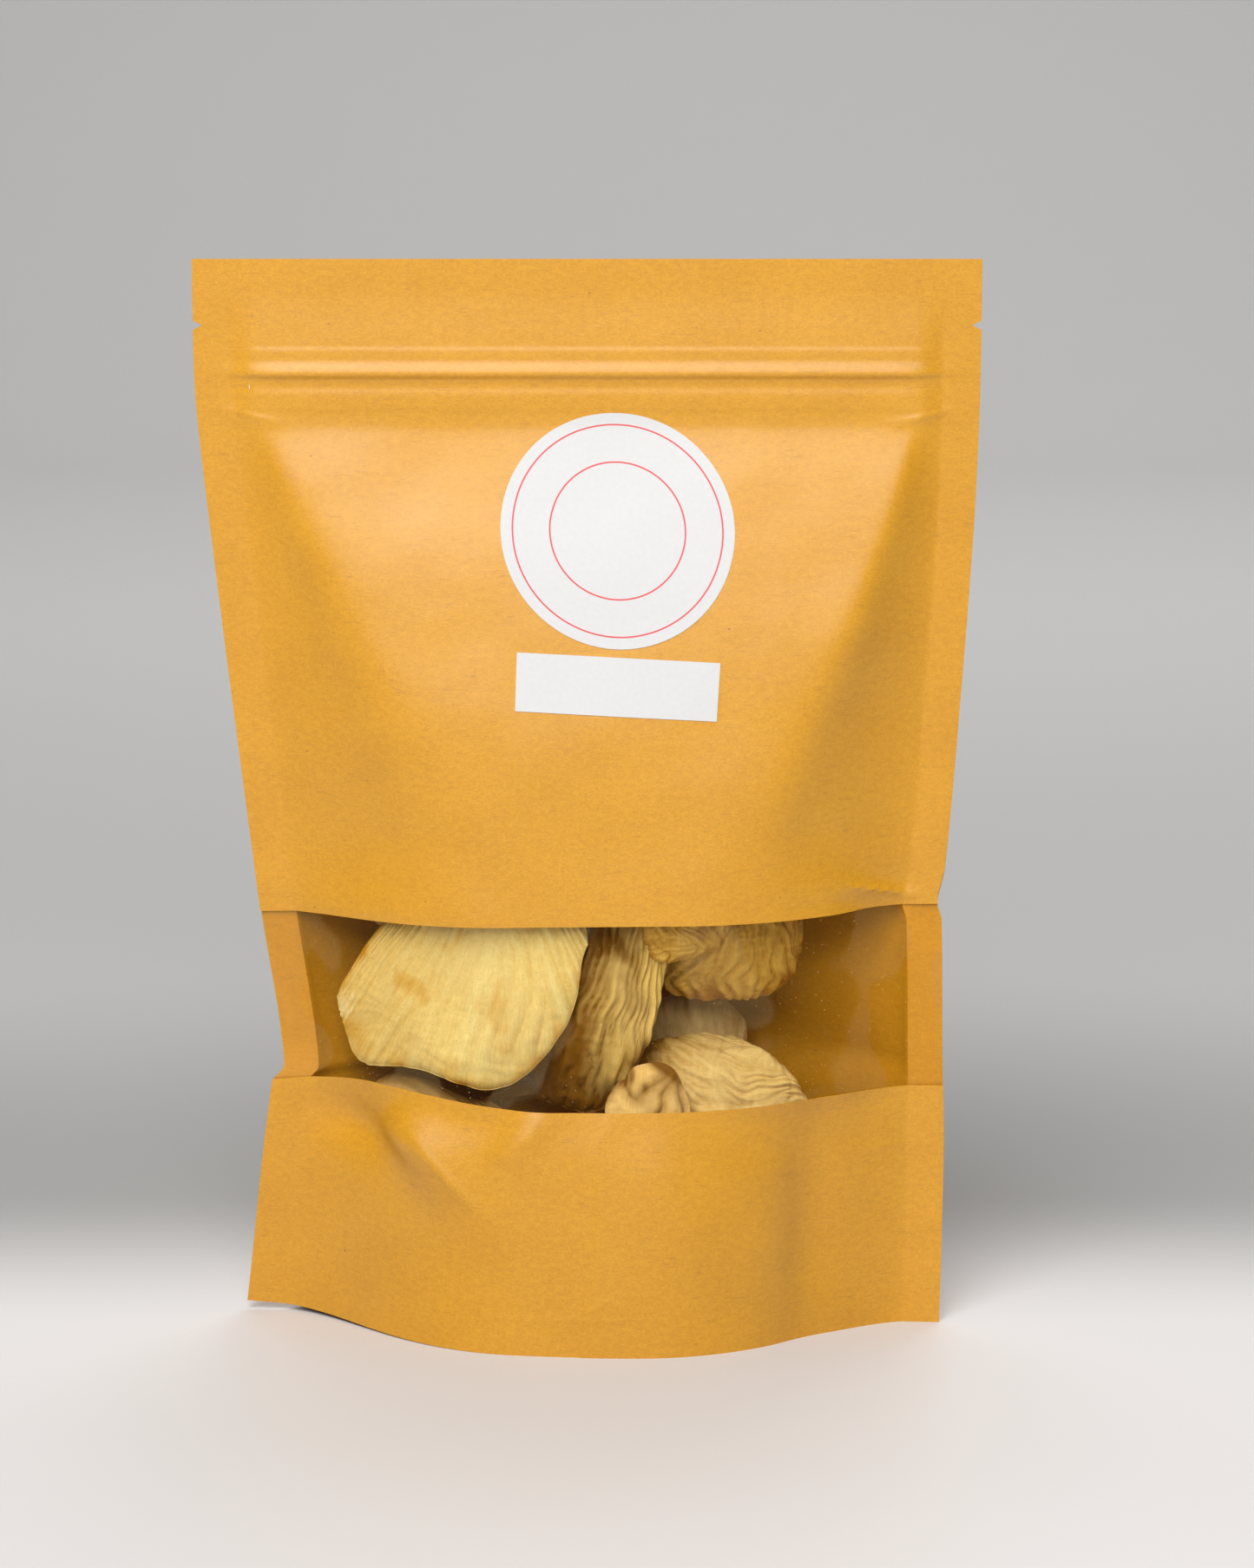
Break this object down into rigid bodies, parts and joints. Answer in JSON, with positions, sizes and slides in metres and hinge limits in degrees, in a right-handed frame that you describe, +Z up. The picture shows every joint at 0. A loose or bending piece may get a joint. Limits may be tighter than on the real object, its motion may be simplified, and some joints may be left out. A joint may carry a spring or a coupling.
{
  "type": "stand-up pouch of dried oyster mushrooms",
  "caption": "Kraft-paper stand-up pouch with a zip closure, a bottom gusset and a clear window band, filled with dried oyster mushrooms.",
  "frame": {"origin": "middle of the base, on the plane that the pouch stands on", "axes": "+Z up, -Y the way the front and its window face, +X to the right as seen from the front"},
  "size_m": [0.17, 0.0676, 0.236],
  "materials": {
    "kraft_paper": "matte uncoated kraft paper with fine fibres",
    "clear_film": "clear glossy plastic film",
    "zipper_plastic": "translucent white plastic",
    "label_paper": "satin coated label paper",
    "dried_mushroom": "dry, wrinkled, matte"
  },
  "bodies": {
    "root": {"back_panel": "kraft_paper", "front_upper_panel": "kraft_paper", "front_lower_panel": "kraft_paper", "window_film": "clear_film", "bottom_gusset": "kraft_paper", "zipper_front_strip": "zipper_plastic", "zipper_back_strip": "zipper_plastic", "round_label": "label_paper", "oblong_label": "label_paper", "mushroom_front_left": "dried_mushroom", "mushroom_front_middle": "dried_mushroom", "mushroom_upper_right_front": "dried_mushroom", "mushroom_upper_right": "dried_mushroom", "mushroom_lower_right": "dried_mushroom", "mushroom_lower_middle": "dried_mushroom", "mushroom_lower_left": "dried_mushroom", "mushroom_upper_left_rear": "dried_mushroom", "mushroom_middle_rear": "dried_mushroom", "mushroom_rear_left": "dried_mushroom", "mushroom_bottom_left": "dried_mushroom", "mushroom_bottom_right": "dried_mushroom", "mushroom_bottom_rear": "dried_mushroom"}
  },
  "joints": []
}
